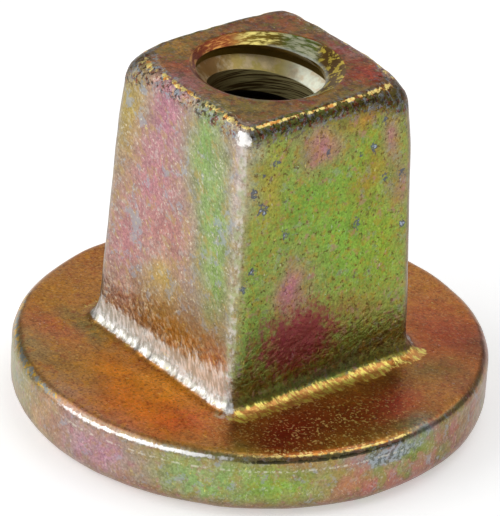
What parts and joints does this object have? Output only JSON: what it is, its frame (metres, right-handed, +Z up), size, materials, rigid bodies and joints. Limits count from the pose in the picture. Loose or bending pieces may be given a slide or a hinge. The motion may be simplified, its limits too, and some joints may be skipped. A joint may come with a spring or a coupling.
{
  "type": "formwork nut",
  "caption": "One-piece forged formwork nut: tapered square body for a spanner on a thick round flange, with a coarse right-hand tie-rod thread right through.",
  "frame": {"origin": "centre of the flange's flat seat face, on the bore's axis", "axes": "+Z up the bore from the seat to the top of the square body; X and Y square to the body's flats"},
  "size_m": [0.066, 0.066, 0.0503],
  "materials": {
    "plated_steel": "yellow passivated zinc plating, iridescent, over forged steel"
  },
  "bodies": {
    "root": {"formwork_nut": "plated_steel"}
  },
  "joints": []
}
